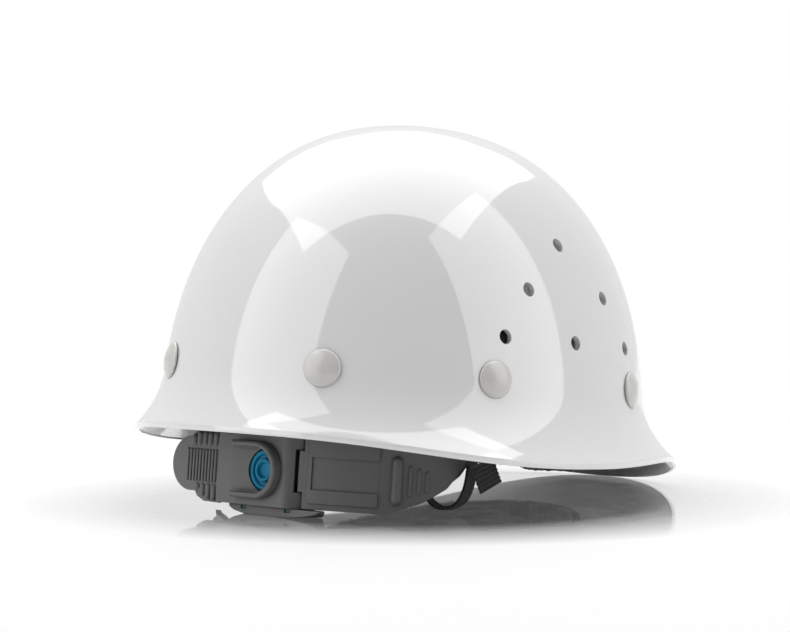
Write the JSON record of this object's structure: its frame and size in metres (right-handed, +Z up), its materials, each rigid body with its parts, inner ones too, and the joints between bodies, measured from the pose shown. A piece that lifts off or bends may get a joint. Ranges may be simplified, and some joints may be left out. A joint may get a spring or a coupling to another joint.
{
  "type": "safety helmet",
  "caption": "Work safety helmet: white domed shell with a turned-out brim, riveted webbing cradle, headband, chin webbing and a nape adjuster that slides out and locks with a key",
  "frame": {"origin": "middle of the helmet's bounding box on the surface it stands on, on the front of its rim and on the foot under the nape adjuster", "axes": "+Z up, -Y towards the forehead, +Y towards the nape, +X towards the wearer's left"},
  "size_m": [0.2366, 0.29, 0.1812],
  "materials": {
    "shell_white": "gloss",
    "rivet_cap": "satin",
    "zinc": "satin",
    "webbing": "woven",
    "crown_foam": "knitted",
    "towelling": "looped",
    "band_plastic": "fine grain",
    "arm_plastic": "fine grain",
    "housing_plastic": "fine grain",
    "stud_plastic": "satin",
    "key_blue": "satin",
    "buckle_plastic": "satin"
  },
  "bodies": {
    "helmet": {"shell": "shell_white", "rivets": "rivet_cap", "rivet_washers": "zinc", "crown_strap_1": "webbing", "crown_strap_2": "webbing", "crown_strap_3": "webbing", "crown_strap_4": "webbing", "crown_pad": "crown_foam", "strap_hangers": "webbing", "band_studs": "stud_plastic", "headband": "band_plastic", "sweatband": "towelling", "left_arm": "arm_plastic", "ear_pins": "stud_plastic", "housing_front": "housing_plastic", "housing_back": "housing_plastic", "nape_pad": "crown_foam", "key_springs": "zinc", "chin_studs": "stud_plastic", "chin_anchor": "webbing", "chin_slider": "buckle_plastic", "chin_strap_right": "webbing", "buckle_socket": "buckle_plastic", "chin_strap_left": "webbing", "buckle_plug": "buckle_plastic"},
    "sliding_arm": {"right_arm": "arm_plastic"},
    "key": {"release_button": "key_blue", "lock_carriage": "key_blue"}
  },
  "joints": [
    {"name": "size_adjust", "type": "hinge", "parent": "helmet", "child": "sliding_arm", "pos_m": [0, 0.03456, 0.0149], "axis": [0, -0.0978, 0.9952], "range_deg": [-0.5, 30]},
    {"name": "key_press", "type": "slide", "parent": "helmet", "child": "key", "axis": [0, -0.9952, -0.0978], "range_m": [0, 0.0024], "stiffness_N_per_m": 600, "deforming": ["key_springs"]}
  ]
}
